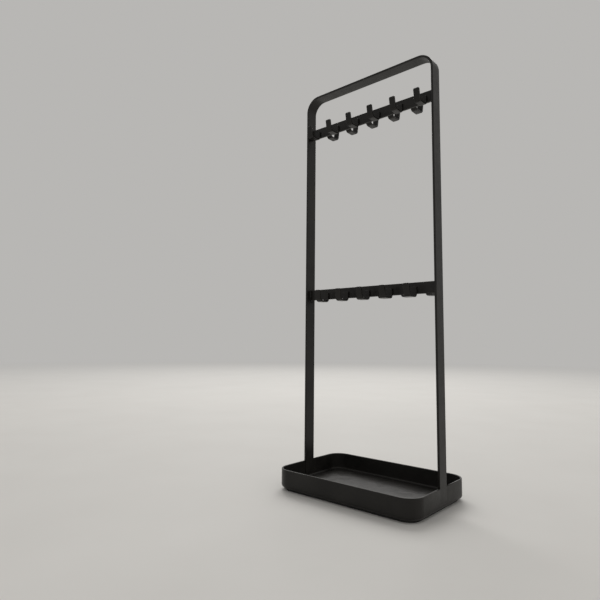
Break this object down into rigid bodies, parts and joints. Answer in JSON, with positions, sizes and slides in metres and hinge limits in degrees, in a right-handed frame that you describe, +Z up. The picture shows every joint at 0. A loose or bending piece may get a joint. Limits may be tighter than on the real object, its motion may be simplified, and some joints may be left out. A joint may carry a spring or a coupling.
{
  "type": "jewelry stand",
  "caption": "Free-standing jewelry stand: a tall bent-strip frame on a shallow round-cornered tray, with cross bars that carry J hooks on the front and back.",
  "frame": {"origin": "on the table, under the middle of the tray", "axes": "+Z up, +X along the cross bars, +Y from the front to the back"},
  "size_m": [0.14, 0.091, 0.379],
  "materials": {
    "black_powder_coat": "satin black powder coat",
    "black_rubber": "matte black rubber sheet"
  },
  "bodies": {
    "root": {"frame_strip": "black_powder_coat", "tray": "black_powder_coat", "base_pad": "black_rubber", "upper_bar": "black_powder_coat", "lower_bar": "black_powder_coat", "upper_front_hook_1": "black_powder_coat", "upper_front_hook_2": "black_powder_coat", "upper_front_hook_3": "black_powder_coat", "upper_front_hook_4": "black_powder_coat", "upper_front_hook_5": "black_powder_coat", "upper_front_hook_6": "black_powder_coat", "upper_back_hook_1": "black_powder_coat", "upper_back_hook_2": "black_powder_coat", "upper_back_hook_3": "black_powder_coat", "upper_back_hook_4": "black_powder_coat", "upper_back_hook_5": "black_powder_coat", "lower_front_hook_1": "black_powder_coat", "lower_front_hook_2": "black_powder_coat", "lower_front_hook_3": "black_powder_coat", "lower_front_hook_4": "black_powder_coat", "lower_front_hook_5": "black_powder_coat", "lower_back_hook_1": "black_powder_coat", "lower_back_hook_2": "black_powder_coat", "lower_back_hook_3": "black_powder_coat", "lower_back_hook_4": "black_powder_coat", "lower_back_hook_5": "black_powder_coat", "lower_back_hook_6": "black_powder_coat"}
  },
  "joints": []
}
